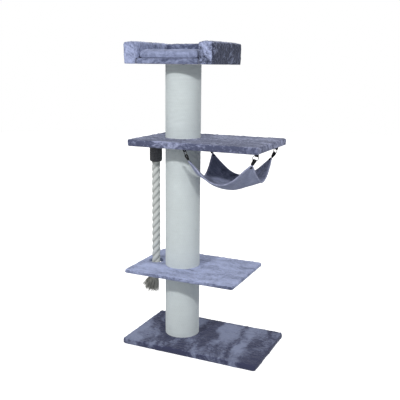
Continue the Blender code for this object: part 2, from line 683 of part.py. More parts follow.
def hammock_sling():
    steps = SLING_STEPS
    places = [2 * step / steps - 1 for step in range(steps + 1)]
    small = 0.001
    upper, lower = [], []
    for v in places:
        for u in places:
            point = sling_point(u, v)
            slope_u = sling_point(min(u + small, 1), v) - sling_point(max(u - small, -1), v)
            slope_v = sling_point(u, min(v + small, 1)) - sling_point(u, max(v - small, -1))
            normal = slope_u.cross(slope_v).normalized()
            upper.append(point)
            lower.append(point - normal * HAMMOCK_CLOTH)
    across_count, total = steps + 1, len(upper)
    faces = []
    for row in range(steps):
        for column in range(steps):
            a = row * across_count + column
            b, c, d = a + 1, a + across_count + 1, a + across_count
            faces.append((a, b, c, d))
            faces.append((total + d, total + c, total + b, total + a))
    edge = list(range(steps)) + [row * across_count + steps for row in range(steps)]
    edge += [steps * across_count + column for column in range(steps, 0, -1)]
    edge += [row * across_count for row in range(steps, 0, -1)]
    for a, b in zip(edge, edge[1:] + edge[:1]):
        faces.append((b, a, total + a, total + b))
    return solid("hammock_sling", upper + lower, faces, HAMMOCK_PLUSH, CORNERS[0].lower)


CORNERS = [
    Corner("front_left", -1, -1),
    Corner("front_right", 1, -1),
    Corner("back_right", 1, 1),
    Corner("back_left", -1, 1),
]

base()
lower_shelf()
middle_platform()
bed()
post("lower_post", BASE_TOP, LOWER_POST)
post("middle_post", SHELF_TOP, MIDDLE_POST)
post("upper_post", MIDDLE_TOP, UPPER_POST)
rope_collar()
play_rope()
rings = [hanger(corner) for corner in CORNERS]
sling = hammock_sling()
attach(sling, rings[0])
for corner in CORNERS:
    hammock_tab(corner, sling)
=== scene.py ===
"""Cat tree: a plush base and two platforms on cord-wound posts, a padded bed on top,
a hammock on four rings, and a climbing rope that ends in a tassel."""

import math
import random

import bmesh
import bpy
from mathutils import Matrix, Vector, noise


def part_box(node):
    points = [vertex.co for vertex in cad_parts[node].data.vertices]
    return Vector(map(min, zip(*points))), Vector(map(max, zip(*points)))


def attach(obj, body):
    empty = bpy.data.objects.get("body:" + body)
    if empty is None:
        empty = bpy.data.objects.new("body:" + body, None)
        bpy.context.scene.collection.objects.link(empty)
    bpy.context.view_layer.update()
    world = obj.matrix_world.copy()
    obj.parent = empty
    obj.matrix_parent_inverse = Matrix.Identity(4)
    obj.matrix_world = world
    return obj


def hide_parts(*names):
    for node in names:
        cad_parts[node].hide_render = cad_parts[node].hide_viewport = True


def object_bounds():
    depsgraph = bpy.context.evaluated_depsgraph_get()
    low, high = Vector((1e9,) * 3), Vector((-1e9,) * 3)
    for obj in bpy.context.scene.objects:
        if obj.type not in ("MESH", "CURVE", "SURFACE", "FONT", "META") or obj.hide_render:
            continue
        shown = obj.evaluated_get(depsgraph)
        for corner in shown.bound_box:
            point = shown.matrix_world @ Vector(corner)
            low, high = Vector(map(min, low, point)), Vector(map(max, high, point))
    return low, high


bl_info = {
    "name": "Cat tree",
    "version": (1, 0, 0),
    "blender": (4, 5, 0),
    "location": "3D View > Sidebar > Cat tree",
    "description": "A plush cat tree with a bed, a hammock, wound posts and a climbing rope",
    "category": "Add Mesh",
}

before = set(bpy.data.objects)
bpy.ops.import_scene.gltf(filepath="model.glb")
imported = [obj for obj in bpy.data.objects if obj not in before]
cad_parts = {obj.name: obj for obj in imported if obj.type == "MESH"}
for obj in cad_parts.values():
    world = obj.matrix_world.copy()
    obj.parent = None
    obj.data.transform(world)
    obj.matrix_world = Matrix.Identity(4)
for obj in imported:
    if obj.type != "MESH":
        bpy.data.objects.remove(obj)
CAD_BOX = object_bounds()

FRAME_BODY = "frame"
PILE_SCALE = 430.0              # of the pile's own grain on every plush
WELD = 1e-5                     # corners of the CAD mesh closer than this are one
AIR_PRESSURE = 4.0
SWELL_FRAMES = 20
LEAST_PILE = 0.0003             # pile that always stands on a cover, so that its board stays hidden
UNDERSIDE_PILE = 0.0006         # most that pile stands on a face that looks down
CORNERS = ("front_left", "front_right", "back_right", "back_left")
TO_FRONT = (0.0, -1.0, 0.0)
TO_RIGHT = (1.0, 0.0, 0.0)

# The climbing rope's line, from inside its collar to where the tassel starts.
ROPE_ROUTE = (
    (-0.2350, 0.0000, 0.8595),
    (-0.2350, 0.0000, 0.7880),
    (-0.2345, -0.0010, 0.6200),
    (-0.2360, 0.0010, 0.4600),
    (-0.2365, 0.0000, 0.3325),
    (-0.2430, 0.0000, 0.2620),
)


# ---------------------------------------------------------------- settings

def length(name, default, description):
    """A distance in metres that a user can change."""
    return bpy.props.FloatProperty(
        name=name, default=default, description=description,
        unit="LENGTH", subtype="DISTANCE", precision=4, min=0.0)


def colour(name, default, description):
    """A surface colour, as linear red, green and blue."""
    return bpy.props.FloatVectorProperty(
        name=name, default=default, description=description,
        subtype="COLOR", size=3, min=0.0, max=1.0)


def amount(name, default, description, low=0.0, high=10.0):
    """A plain number without a unit."""
    return bpy.props.FloatProperty(
        name=name, default=default, description=description, min=low, max=high)


def count(name, default, description, low=1, high=5000):
    """A whole number of things."""
    return bpy.props.IntProperty(
        name=name, default=default, description=description, min=low, max=high)


class CatTreePlush(bpy.types.PropertyGroup):
    """Pile and colours of the plush that covers the boards and the bed."""

    # Each shade colour is the pile's darker patches and also the painted shade that faces looking to the
    # front or right take.
    light: colour("Light pile", (0.430, 0.490, 0.730), "Bed and shelf, where pile catches the light")
    light_shade: colour("Light pile shade", (0.060, 0.072, 0.130), "Bed and shelf, pile brushed back")
    slate: colour("Slate pile", (0.350, 0.385, 0.560), "Middle platform, where pile catches light")
    slate_shade: colour("Slate pile shade", (0.070, 0.080, 0.140), "Middle platform, pile brushed back")
    dark: colour("Dark pile", (0.230, 0.262, 0.385), "Base, where the pile catches the light")
    dark_shade: colour("Dark pile shade", (0.042, 0.047, 0.095), "Base, where the pile is brushed back")
    skin: length("Skin detail", 0.0034, "Size of the facets that the pile's tufts are raised on")
    tuft: length("Tuft height", 0.0026, "How far a tuft of pile stands up from the cloth")


class CatTreePosts(bpy.types.PropertyGroup):
    """Cord winding on the three posts."""

    cord: length("Cord diameter", 0.0054, "Thickness of the wound cord")
    pitch: length("Pitch", 0.0050, "Height between one turn and the next")
    points: count("Points per turn", 44, "Corners in each turn", 12, 96)
    sides: count("Sides", 8, "Corners round the cord", 4, 16)
    pale: colour("Pale fibre", (0.640, 0.700, 0.715), "The cord's own colour")
    shade: colour("Fibre shade", (0.330, 0.365, 0.365), "Between the cord's fibres")


class CatTreeRope(bpy.types.PropertyGroup):
    """Climbing rope and the tassel at its end."""

    diameter: length("Diameter", 0.034, "Over the strands")
    lay: length("Lay", 0.097, "Height of one full turn of a strand")
    groove: amount("Groove", 0.30, "Depth of the grooves between strands, over radius", 0.0, 0.5)
    cotton: colour("Cotton", (0.590, 0.622, 0.612), "Outside of the strands")
    # The cotton shade is also the painted shade in the grooves between strands.
    cotton_shade: colour("Cotton shade", (0.330, 0.350, 0.345), "Between the yarns")
    fibres: count("Tassel fibres", 260, "Yarns in the tassel", 20, 900)
    fibre: colour("Tassel fibre", (0.640, 0.645, 0.585), "Loose yarns")
    fibre_shade: colour("Tassel shade", (0.230, 0.230, 0.205), "Inner yarns")
    collar: colour("Collar", (0.056, 0.058, 0.065), "Sleeve that holds the rope's top")


class CatTreeHammock(bpy.types.PropertyGroup):
    """Hammock cloth, its rings and webbing."""

    rim_drop: length("Rim drop", 0.082, "How far the middle of each edge hangs below the corners")
    front_drop: length("Front drop", 0.005, "How much lower the front edge hangs than the others")
    belly_drop: length("Belly drop", 0.122, "How far the middle of the cloth hangs below the corners")
    ears: amount("Ears", 1.30, "1 for a plain arch; more for broad ears at the corners", 1.0, 2.0)
    thickness: length("Cloth thickness", 0.0036, "Both layers and their pile")
    hem: length("Hem radius", 0.0036, "Rolled edge round the cloth")
    outer: colour("Outer cloth", (0.265, 0.297, 0.430), "Outside of the hammock")
    outer_shade: colour("Outer cloth shade", (0.135, 0.150, 0.230), "Outside, pile brushed back")
    # The inside colours are darker than the outside's, as painted shade for the shade that falls on the
    # inside's back.
    inner: colour("Inner cloth", (0.240, 0.268, 0.390), "Inside of the hammock")
    inner_shade: colour("Inner cloth shade", (0.050, 0.058, 0.095), "Inside, pile brushed back")
    band: colour("Hem", (0.370, 0.400, 0.560), "Rolled edge")
    webbing: colour("Webbing", (0.006, 0.0065, 0.008), "Straps and corner tabs")
    steel: colour("Ring steel", (0.120, 0.123, 0.130), "The four rings")


class CatTreeStage(bpy.types.PropertyGroup):
    """Camera, floor and lights."""

    left: amount("Left lamp", 28.0, "Power of the lamp to the left of the camera, in watts", 0.0, 500.0)
    right: amount("Right lamp", 30.0, "Power of the lamp to the right of the camera, in watts", 0.0, 500.0)
    fill: amount("Fill light", 0.61, "Brightness of the white room", 0.0, 5.0)
    floor: colour("Floor", (0.86, 0.86, 0.86), "Plain floor")


class CatTreeSettings(bpy.types.PropertyGroup):
    """Everything a user can change on the cat tree."""

    plush: bpy.props.PointerProperty(type=CatTreePlush)
    posts: bpy.props.PointerProperty(type=CatTreePosts)
    rope: bpy.props.PointerProperty(type=CatTreeRope)
    hammock: bpy.props.PointerProperty(type=CatTreeHammock)
    stage: bpy.props.PointerProperty(type=CatTreeStage)


# ---------------------------------------------------------------- node graphs

class Number:
    """A number that varies over a surface. Its operators add Math nodes."""

    def __init__(self, graph, socket):
        self.graph = graph
        self.socket = socket

    def math(self, operation, *others):
        inputs = dict(enumerate((self, *others)))
        node = self.graph.node("ShaderNodeMath", {"operation": operation}, inputs)
        return Number(self.graph, node.outputs[0])

    def __add__(self, other):
        return self.math("ADD", other)

    def __sub__(self, other):
        return self.math("SUBTRACT", other)

    def __mul__(self, other):
        return self.math("MULTIPLY", other)

    def __rsub__(self, other):
        return (self * -1.0) + other

    __radd__ = __add__
    __rmul__ = __mul__

    def band(self, low, high):
        """0 below low, 1 above high, and smooth between."""
        settings = {"interpolation_type": "SMOOTHSTEP"}
        inputs = {"Value": self, "From Min": low, "From Max": high}
        node = self.graph.node("ShaderNodeMapRange", settings, inputs)
        return Number(self.graph, node.outputs["Result"])


class Graph:
    """A shader or geometry tree and the few ways this file adds to it."""

    def __init__(self, tree):
        self.tree = tree

    def node(self, kind, settings=None, inputs=None):
        """Adds a node: its settings first, then each input as a value or a link."""
        node = self.tree.nodes.new(kind)
        for name, value in (settings or {}).items():
            setattr(node, name, value)
        for key, value in (inputs or {}).items():
            socket = node.inputs[key]
            if isinstance(value, Number):
                value = value.socket
            if isinstance(value, bpy.types.NodeSocket):
                self.tree.links.new(value, socket)
            else:
                socket.default_value = value
        return node

    def first(self, kind, inputs=None, settings=None):
        """The first output of a new node."""
        return self.node(kind, settings, inputs).outputs[0]

    def number(self, kind, output, settings=None, inputs=None):
        return Number(self, self.node(kind, settings, inputs).outputs[output])

    def noise(self, vector, scale, detail=2.0, roughness=0.5):
        return self.number("ShaderNodeTexNoise", "Fac", None, {
            "Vector": vector, "Scale": scale, "Detail": detail, "Roughness": roughness})

    def mix(self, factor, first, second):
        node = self.node("ShaderNodeMix", {"data_type": "RGBA"}, {
            "Factor": factor, 6: (*first, 1.0) if not isinstance(first, bpy.types.NodeSocket) else first,
            7: (*second, 1.0) if not isinstance(second, bpy.types.NodeSocket) else second})
        return node.outputs[2]

    def stretched(self, vector, turn, scale):
        """Turns the pattern about the vertical and stretches it."""
        turned = self.first("ShaderNodeMapping", {"Vector": vector, "Rotation": (0.0, 0.0, turn)})
        return self.first("ShaderNodeMapping", {"Vector": turned, "Scale": scale})

    def bump(self, height, distance, strength):
        return self.first("ShaderNodeBump", {
            "Height": height, "Distance": distance, "Strength": strength})


def material(name, roughness=0.8, metallic=0.0, **constants):
    """A new material with its tree emptied but for one shader; returns material, graph, shader."""
    made = bpy.data.materials.new(name)
    made.use_nodes = True
    tree = made.node_tree
    tree.nodes.clear()
    graph = Graph(tree)
    shader = graph.node("ShaderNodeBsdfPrincipled", None, {"Roughness": roughness, "Metallic": metallic})
    for socket, value in constants.items():
        shader.inputs[socket.replace("_", " ")].default_value = value
    output = graph.node("ShaderNodeOutputMaterial")
    tree.links.new(shader.outputs[0], output.inputs["Surface"])
    return made, graph, shader


def finish_material(graph, shader, **links):
    """Joins the varying sockets of a shader to what was worked out for them."""
    for name, value in links.items():
        socket = value.socket if isinstance(value, Number) else value
        graph.tree.links.new(socket, shader.inputs[name.replace("_", " ")])


def object_coordinates(graph):
    return graph.node("ShaderNodeTexCoord").outputs["Object"]


# ---------------------------------------------------------------- materials

def plush_material(name, light, shade, turn, stroke, sweep, patches, pile, middle=0.5, painted_facing_light_and_shade=()):
    """Short plush pile: broad sweeps stroked one way, patches of clumped pile, and the pile itself.

    Turn and stroke lay the sweeps. Middle sets the tone, and painted_facing_light_and_shade darkens or
    lightens
    the faces that look one way: painted shade and light, partly standing for the pile's nap."""
    made, graph, shader = material(
        name, 0.92, Sheen_Weight=0.25, Sheen_Roughness=0.45, Sheen_Tint=(0.80, 0.84, 1.0, 1.0),
        Specular_IOR_Level=0.12)
    place = object_coordinates(graph)
    wander = graph.node("ShaderNodeTexNoise", None, {"Vector": place, "Scale": 7.0, "Detail": 2.0})
    bend = (0.12, 0.12, 0.12)
    pushed = graph.node("ShaderNodeVectorMath", {"operation": "MULTIPLY_ADD"}, {
        0: wander.outputs["Color"], 1: bend, 2: place}).outputs[0]
    clump_scale = (60.0, 105.0, 90.0)
    broad = graph.noise(graph.stretched(pushed, turn, stroke), 1.0, 3.0, 0.55)
    clumps = graph.noise(graph.stretched(pushed, turn, clump_scale), 1.0, 3.0, 0.6)
    fine = graph.noise(place, PILE_SCALE, 2.0, 0.6)
    tone = (broad - 0.5) * sweep + (clumps - 0.5) * patches + (fine - 0.5) * pile + middle
    # Painted shade and light: faces that look one way get darker or lighter, partly standing for the pile's
    # nap.
    for way, change in painted_facing_light_and_shade:
        facing = graph.node("ShaderNodeVectorMath", {"operation": "DOT_PRODUCT"}, {
            0: graph.node("ShaderNodeTexCoord").outputs["Normal"], 1: way}).outputs["Value"]
        tone = tone + Number(graph, facing).band(0.55, 0.85) * change
    tone = tone.band(0.0, 1.0)
    height = clumps * 0.7 + fine * 0.3
    finish_material(
        graph, shader, Base_Color=graph.mix(tone, shade, light),
        Normal=graph.bump(height, 0.004, 0.75))
    return made


def cord_material(name, pale, shade, lay, fibre_scale, roughness=0.88, depth=0.0008, twist=0.10, turns=0.0):
    """Twisted fibre: strands wind round the cord, with finer fibres along them.

    Turns adds level streaks, as where one turn of a winding is cleaner than the next. The side attribute's
    third value darkens the grooves between strands: painted shade."""
    made, graph, shader = material(name, roughness, Sheen_Weight=0.15, Specular_IOR_Level=0.2)
    along = graph.number("ShaderNodeAttribute", "Fac", {"attribute_name": "along"})
    side = graph.node("ShaderNodeAttribute", {"attribute_name": "side"}).outputs["Vector"]
    parts = graph.node("ShaderNodeSeparateXYZ", None, {0: side})
    cosine = Number(graph, parts.outputs[0])
    sine = Number(graph, parts.outputs[1])
    # The side's third value is below zero in the grooves between strands; it darkens the tone there as
    # painted shade.
    groove = Number(graph, parts.outputs[2])
    phase = along * (math.tau / lay)
    strand = phase.math("SINE") * cosine + phase.math("COSINE") * sine
    place = object_coordinates(graph)
    fibres = graph.noise(place, fibre_scale, 3.0, 0.65)
    drift = graph.noise(place, 14.0, 2.0, 0.5)
    level = graph.noise(graph.stretched(place, 0.0, (1.2, 1.2, 165.0)), 1.0, 1.0, 0.5)
    grime = (fibres - 0.5) * 0.7 + (drift - 0.5) * 0.25
    tone = strand * twist + grime + (level - 0.5) * turns + groove * 0.9 + 0.78
    height = strand * (2.0 * twist) + fibres * 0.65
    finish_material(
        graph, shader, Base_Color=graph.mix(tone.band(0.0, 1.0), shade, pale),
        Normal=graph.bump(height, depth, 0.8))
    return made


def plain_fibre_material(
        name, light, shade, scale, depth=0.001, roughness=0.9, turn=0.0, stretch=(1.0, 1.0, 1.0)):
    """A fibrous or granular surface in two tones."""
    made, graph, shader = material(name, roughness, Specular_IOR_Level=0.2)
    place = graph.stretched(object_coordinates(graph), turn, stretch)
    grain = graph.noise(place, scale, 4.0, 0.65)
    drift = graph.noise(place, scale * 0.08, 2.0, 0.5)
    tone = ((grain - 0.5) * 1.6 + (drift - 0.5) * 0.7 + 0.5).band(0.0, 1.0)
    finish_material(
        graph, shader, Base_Color=graph.mix(tone, shade, light), Normal=graph.bump(grain, depth, 0.7))
    return made


def webbing_material(name, thread):
    """Flat woven tape: a tight basket weave with a faint shine on the threads."""
    made, graph, shader = material(name, 0.7, Specular_IOR_Level=0.2)
    warp, weft = 0.0022, 0.0016
    place = object_coordinates(graph)
    parts = graph.node("ShaderNodeSeparateXYZ", None, {0: place})
    aside = Number(graph, parts.outputs[0]) + Number(graph, parts.outputs[1])
    across = aside * (math.tau / warp)
    up = Number(graph, parts.outputs[2]) * (math.tau / weft)
    weave = across.math("SINE") * up.math("SINE") * 0.5 + 0.5
    grime = graph.noise(place, 260.0, 3.0, 0.6)
    tone = (weave * 0.7 + grime * 0.5 - 0.1).band(0.0, 1.0)
    pale = tuple(2.2 * value for value in thread)
    finish_material(
        graph, shader, Base_Color=graph.mix(tone, thread, pale), Normal=graph.bump(weave, 0.0006, 0.6))
    return made


def metal_material(name, tint, roughness, grain_scale):
    """Plated wire or bolt: bright, with faint rolling marks and dull patches."""
    made, graph, shader = material(name, roughness, 1.0)
    place = object_coordinates(graph)
    marks = graph.noise(graph.stretched(place, 0.0, (1.0, 1.0, 9.0)), grain_scale, 3.0, 0.6)
    dull = graph.noise(place, 60.0, 2.0, 0.5)
    shade = tuple(0.72 * value for value in tint)
    finish_material(
        graph, shader, Base_Color=graph.mix(dull.band(0.3, 0.7), shade, tint),
        Roughness=(marks - 0.5) * 0.25 + roughness, Normal=graph.bump(marks, 0.0002, 0.4))
    return made


# ---------------------------------------------------------------- mesh tools

def linked(name, data):
    """A new object of the scene."""
    thing = bpy.data.objects.new(name, data)
    bpy.context.scene.collection.objects.link(thing)
    return thing


def outcome(worker):
    """The mesh that a worker object's modifiers make. The worker is removed."""
    graph = bpy.context.evaluated_depsgraph_get()
    result = bpy.data.meshes.new_from_object(worker.evaluated_get(graph))
    bpy.data.objects.remove(worker)
    return result


def opened(*meshes, weld=0.0):
    """Meshes opened together for work on their corners and faces."""
    work = bmesh.new()
    for mesh in meshes:
        work.from_mesh(mesh)
    if weld:
        bmesh.ops.remove_doubles(work, verts=work.verts, dist=weld)
    return work


def closed(work, mesh):
    """Writes the work into a mesh."""
    work.to_mesh(mesh)
    work.free()
    return mesh


def squares(across, rows):
    """The first corner of each square in a grid of corners."""
    return [row * across + column for row in range(rows - 1) for column in range(across - 1)]


def border(across, rows):
    """The corners round the edge of a grid of corners, in order."""
    near = list(range(across - 1))
    right = [row * across + across - 1 for row in range(rows - 1)]
    far = [(rows - 1) * across + column for column in range(across - 1, 0, -1)]
    left = [row * across for row in range(rows - 1, 0, -1)]
    return near + right + far + left


def shown(name, mesh, body, slot, *materials):
    """Makes a finished piece at the origin that rides on a body and takes the given materials; its slot is
    not used.
    """
    mesh.name = name
    piece = linked(name, mesh)
    mesh.materials.clear()
    for made in materials:
        mesh.materials.append(made)
    for face in mesh.polygons:
        face.use_smooth = True
    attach(piece, body)
    return piece


def paint_node(made, *nodes):
    """Gives CAD nodes a better material in the slots they have."""
    for name in nodes:
        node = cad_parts[name]
        if not node.material_slots:
            node.data.materials.append(made)
        for place in node.material_slots:
            place.material = made


def merged_copy(node):
    """A copy of a CAD node's mesh with its loose triangles joined."""
    work = opened(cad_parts[node].data, weld=WELD)
    return closed(work, bpy.data.meshes.new(node + "_copy"))


def outer_solid(node, depth=0.0012):
    """The outside of a CAD cover, closed: faces that lie wholly under its surface are left out."""
    lo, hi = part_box(node)
    work = opened(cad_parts[node].data, weld=WELD)
    buried = {
        vertex for vertex in work.verts
        if all(low + depth < at < high - depth for low, at, high in zip(lo, vertex.co, hi))}
    inner = [face for face in work.faces if all(vertex in buried for vertex in face.verts)]
    bmesh.ops.delete(work, geom=inner, context="FACES")
    open_edges = [edge for edge in work.edges if edge.is_boundary]
    if open_edges:
        bmesh.ops.holes_fill(work, edges=open_edges, sides=0)
    return closed(work, bpy.data.meshes.new(node + "_outside"))


def evaluated_mesh(mesh, *makers):
    """The mesh after a chain of modifiers, each made by a function that gets the worker object."""
    worker = linked("worker", mesh)
    for make in makers:
        make(worker)
    return outcome(worker)


def remeshed(mesh, size):
    """An even skin of small squares over a closed mesh, its steps smoothed out."""
    def skin(worker):
        remesh = worker.modifiers.new("Skin", "REMESH")
        remesh.mode = "VOXEL"
        remesh.voxel_size = size

    def relax(worker):
        smooth = worker.modifiers.new("Relax", "SMOOTH")
        smooth.factor = 0.5
        smooth.iterations = 1

    return evaluated_mesh(mesh, skin, relax)


def raise_pile(mesh, height, seed, lift=0.5, worn=None):
    """Pushes each point outwards by smooth noise, so that the pile stands up in tufts.

    Where worn says so of a point, the pile lies flat."""
    shift = Vector((seed * 3.7, seed * 1.9, seed * 5.3))
    normals = [vertex.normal.copy() for vertex in mesh.vertices]
    for vertex, normal in zip(mesh.vertices, normals):
        spot = vertex.co
        coarse = noise.noise(spot * 42.0 + shift)
        clump = noise.noise(spot * 105.0 + shift * 2.0)
        fine = noise.noise(spot * 260.0 + shift * 3.0)
        rise = height * (0.45 * coarse + 0.50 * clump + 0.42 * fine + lift)
        if normal.z < -0.6:
            rise = min(rise, UNDERSIDE_PILE)
        if worn and worn(spot):
            rise = 0.0
        vertex.co += normal * max(rise, LEAST_PILE)
    mesh.update()
    return mesh


def swell(mesh, cap, held):
    """Fills a closed skin with air as cloth, holding the points below a height.

    A point only moves outwards, by at most the cap for the way that it faces along X, Y and Z."""
    scene = bpy.context.scene
    worker = linked("stuffing", mesh)
    group = worker.vertex_groups.new(name="held")
    kept = [vertex.index for vertex in mesh.vertices if vertex.co.z < held]
    if kept:
        group.add(kept, 1.0, "REPLACE")
    cloth = worker.modifiers.new("Cloth", "CLOTH")
    stiffness = 18.0
    rules = cloth.settings
    rules.quality = 6
    rules.mass = 0.25
    rules.tension_stiffness = stiffness
    rules.compression_stiffness = stiffness
    rules.shear_stiffness = stiffness * 0.5
    rules.bending_stiffness = 0.6
    rules.use_pressure = True
    rules.uniform_pressure_force = AIR_PRESSURE
    rules.effector_weights.gravity = 0.0
    if kept:
        rules.vertex_group_mass = "held"
    cloth.point_cache.frame_start = 1
    cloth.point_cache.frame_end = SWELL_FRAMES
    start = [(vertex.co.copy(), vertex.normal.copy()) for vertex in mesh.vertices]
    for step in range(1, SWELL_FRAMES + 1):
        scene.frame_set(step)
    result = outcome(worker)
    scene.frame_set(1)
    for vertex, (origin, normal) in zip(result.vertices, start):
        most = sum(limit * abs(way) for limit, way in zip(cap, normal))
        out = min(max((vertex.co - origin).dot(normal), 0.0), most)
        vertex.co = origin + normal * out
    result.update()
    return result


def tube(rings, close=True):
    """A mesh from rings of corners, one ring for each place along a line."""
    mesh = bpy.data.meshes.new("tube")
    around = len(rings[0])
    corners = [corner for ring in rings for corner in ring]
    faces = []
    for row in range(len(rings) - 1):
        for step in range(around):
            a = row * around + step
            b = row * around + (step + 1) % around
            faces.append((a, b, b + around, a + around))
    if close:
        faces.append(tuple(reversed(range(around))))
        last = (len(rings) - 1) * around
        faces.append(tuple(range(last, last + around)))
    mesh.from_pydata(corners, [], faces)
    mesh.update()
    return mesh


def frames_along(points):
    """Tangent, side and up at each point of a line, turned as little as possible."""
    tangents = []
    for index in range(len(points)):
        before = points[max(index - 1, 0)]
        after = points[min(index + 1, len(points) - 1)]
        tangents.append((after - before).normalized())
    first = tangents[0]
    side = first.orthogonal().normalized()
    result = []
    for tangent in tangents:
        side = (side - tangent * side.dot(tangent)).normalized()
        result.append((tangent, side, tangent.cross(side)))
    return result


def smooth_line(route, step):
    """Points a step apart on the smooth line through a route."""
    points = [Vector(point) for point in route]
    ends = [points[0] * 2 - points[1], *points, points[-1] * 2 - points[-2]]
    fine = []
    for a, b, c, d in zip(ends, ends[1:], ends[2:], ends[3:]):
        for part in range(24):
            t = part / 24
            fine.append(0.5 * (
                2 * b + (c - a) * t + (2 * a - 5 * b + 4 * c - d) * t ** 2
                + (3 * b - a - 3 * c + d) * t ** 3))
    fine.append(points[-1])
    reach = [0.0]
    for before, after in zip(fine, fine[1:]):
        reach.append(reach[-1] + (after - before).length)
    total = reach[-1]
    pieces = max(2, round(total / step))
    line = []
    index = 0
    for number in range(pieces + 1):
        goal = total * number / pieces
        while index < len(reach) - 2 and reach[index + 1] < goal:
            index += 1
        span = reach[index + 1] - reach[index]
        share = (goal - reach[index]) / span if span else 0.0
        line.append(fine[index].lerp(fine[index + 1], min(max(share, 0.0), 1.0)))
    return line, total


def point_attributes(mesh, along, sides):
    """Stores how far along its line each corner lies, and on which side of it."""
    distance = mesh.attributes.new("along", "FLOAT", "POINT")
    side = mesh.attributes.new("side", "FLOAT_VECTOR", "POINT")
    for index, (reach, way) in enumerate(zip(along, sides)):
        distance.data[index].value = reach
        side.data[index].vector = way


def joined(name, meshes):
    """One mesh from several."""
    return closed(opened(*meshes), bpy.data.meshes.new(name))


# ---------------------------------------------------------------- geometry trees

def geometry_tree(name, inputs):
    """A new geometry tree with named inputs; returns its graph and the input sockets by name."""
    tree = bpy.data.node_groups.new(name, "GeometryNodeTree")
    for label, kind, default in inputs:
        socket = tree.interface.new_socket(name=label, in_out="INPUT", socket_type=kind)
        if default is not None:
            socket.default_value = default
    tree.interface.new_socket(name="Geometry", in_out="OUTPUT", socket_type="NodeSocketGeometry")
    graph = Graph(tree)
    start = graph.node("NodeGroupInput")
    return graph, start.outputs


def finish_tree(graph, geometry, made):
    """Ends a tree in real geometry with its material."""
    solid = graph.first("GeometryNodeRealizeInstances", {0: geometry})
    painted = graph.first("GeometryNodeSetMaterial", {"Geometry": solid, "Material": made})
    output = graph.node("NodeGroupOutput")
    graph.tree.links.new(painted, output.inputs[0])
    return graph.tree


def grown(tree, **values):
    """The plain mesh that a geometry tree makes with the given inputs."""
    worker = linked("grown", bpy.data.meshes.new("grown"))
    modifier = worker.modifiers.new("Tree", "NODES")
    modifier.node_group = tree
    names = {item.name: item.identifier for item in tree.interface.items_tree if item.in_out == "INPUT"}
    for label, value in values.items():
        modifier[names[label.replace("_", " ")]] = value
    worker.update_tag()
    return outcome(worker)


def winding_tree(made):
    """Cord wound up a post and closed by a level turn at each end.

    Every corner knows how far along the cord it lies, and on which side of it."""
    graph, given = geometry_tree("Cord winding", (
        ("Turns", "NodeSocketFloat", 50.0),
        ("Radius", "NodeSocketFloat", 0.072),
        ("Height", "NodeSocketFloat", 0.3),
        ("Cord radius", "NodeSocketFloat", 0.003),
        ("Points per turn", "NodeSocketInt", 40),
        ("Sides", "NodeSocketInt", 8),
        ("Start", "NodeSocketVector", None),
    ))
    spiral = graph.first("GeometryNodeCurveSpiral", {
        "Resolution": given["Points per turn"], "Rotations": given["Turns"],
        "Start Radius": given["Radius"], "End Radius": given["Radius"], "Height": given["Height"]})
    rim = graph.first("GeometryNodeCurvePrimitiveCircle", {
        "Resolution": given["Points per turn"], "Radius": given["Radius"]})
    rise = graph.first("ShaderNodeCombineXYZ", {"Z": given["Height"]})
    top_rim = graph.first("GeometryNodeSetPosition", {"Geometry": rim, "Offset": rise})
    turns = graph.node("GeometryNodeJoinGeometry")
    for curve in (spiral, rim, top_rim):
        graph.tree.links.new(curve, turns.inputs[0])
    upright = graph.first("GeometryNodeSetCurveNormal", {"Curve": turns.outputs[0]}, {"mode": "Z_UP"})
    reach = graph.node("GeometryNodeSplineParameter").outputs["Length"]
    marked = graph.first(
        "GeometryNodeStoreNamedAttribute", {"Geometry": upright, "Name": "along", "Value": reach},
        {"data_type": "FLOAT", "domain": "POINT"})
    ring = graph.first("GeometryNodeCurvePrimitiveCircle", {
        "Resolution": given["Sides"], "Radius": given["Cord radius"]})
    place = graph.first("GeometryNodeInputPosition")
    way = graph.first("ShaderNodeVectorMath", {0: place}, {"operation": "NORMALIZE"})
    marked_ring = graph.first(
        "GeometryNodeStoreNamedAttribute", {"Geometry": ring, "Name": "side", "Value": way},
        {"data_type": "FLOAT_VECTOR", "domain": "POINT"})
    cord = graph.first("GeometryNodeCurveToMesh", {
        "Curve": marked, "Profile Curve": marked_ring, "Fill Caps": True})
    placed = graph.first("GeometryNodeSetPosition", {"Geometry": cord, "Offset": given["Start"]})
    return finish_tree(graph, placed, made)


# ---------------------------------------------------------------- shapes

